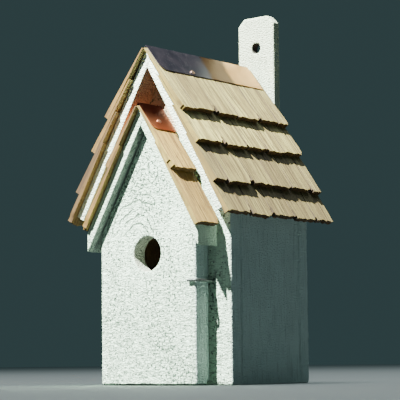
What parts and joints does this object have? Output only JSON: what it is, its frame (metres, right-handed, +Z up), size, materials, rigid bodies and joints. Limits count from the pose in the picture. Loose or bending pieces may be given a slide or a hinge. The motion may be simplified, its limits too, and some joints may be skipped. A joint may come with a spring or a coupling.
{
  "type": "birdhouse",
  "caption": "Tall gabled nest box with a tilt-out front door, hook latch, small porch roof, tapered wooden shingles, folded copper ridge caps and a hanging board at the back.",
  "frame": {"origin": "centre of the bounding box's bottom face, at the house's underside", "axes": "+X to the right seen from the front, +Y towards the hanging board at the back, +Z up"},
  "size_m": [0.2327, 0.2354, 0.438],
  "materials": {
    "painted_wood_front": "rough-sawn boards, chalky off-white paint",
    "painted_wood_sides": "rough-sawn boards, chalky off-white paint",
    "painted_wood_roof": "sawn boards, chalky off-white paint",
    "painted_wood_board": "planed board, off-white paint",
    "bare_wood": "bare sawn softwood",
    "shingle_wood": "bare split softwood, lightly weathered",
    "copper_main": "folded copper sheet, lightly tarnished",
    "copper_porch": "folded copper sheet, lightly tarnished",
    "copper_nails": "dull copper",
    "zinc_wire": "dull zinc plate",
    "zinc_plate": "dull zinc plate",
    "screws": "zinc plate",
    "nails": "galvanised"
  },
  "bodies": {
    "house": {"door_frame": "painted_wood_front", "front_wall": "painted_wood_front", "back_wall": "painted_wood_sides", "left_wall": "painted_wood_sides", "right_wall": "painted_wood_sides", "floor_panel": "bare_wood", "main_roof_board_left": "painted_wood_roof", "main_roof_board_right": "painted_wood_roof", "porch_roof_board_left": "painted_wood_roof", "porch_roof_board_right": "painted_wood_roof", "main_shingles_left_1": "shingle_wood", "main_shingles_left_2": "shingle_wood", "main_shingles_left_3": "shingle_wood", "main_shingles_left_4": "shingle_wood", "main_shingles_right_1": "shingle_wood", "main_shingles_right_2": "shingle_wood", "main_shingles_right_3": "shingle_wood", "main_shingles_right_4": "shingle_wood", "porch_shingles_left_1": "shingle_wood", "porch_shingles_left_2": "shingle_wood", "porch_shingles_right_1": "shingle_wood", "porch_shingles_right_2": "shingle_wood", "main_ridge_cap": "copper_main", "porch_ridge_cap": "copper_porch", "ridge_cap_nails": "copper_nails", "hinge_wall_leaves": "zinc_plate", "hinge_pins": "zinc_plate", "hinge_screws_wall": "screws", "wall_nails": "nails", "roof_nails": "nails", "porch_nails": "nails", "spacer_block": "painted_wood_sides", "spacer_screws": "screws", "hanging_board": "painted_wood_board", "hanging_board_screws": "screws"},
    "door": {"door_panel": "painted_wood_front", "hinge_door_leaves": "zinc_plate", "hinge_screws_door": "screws"},
    "latch": {"latch_hook": "zinc_wire"}
  },
  "joints": [
    {"name": "door_tilt", "type": "hinge", "parent": "house", "child": "door", "pos_m": [0, -0.07725, 0.0044], "axis": [1, 0, 0], "range_deg": [0, 78]},
    {"name": "latch_turn", "type": "hinge", "parent": "house", "child": "latch", "pos_m": [0.0689, -0.09125, 0.112], "axis": [0, 1, 0], "range_deg": [-90, 90]}
  ]
}
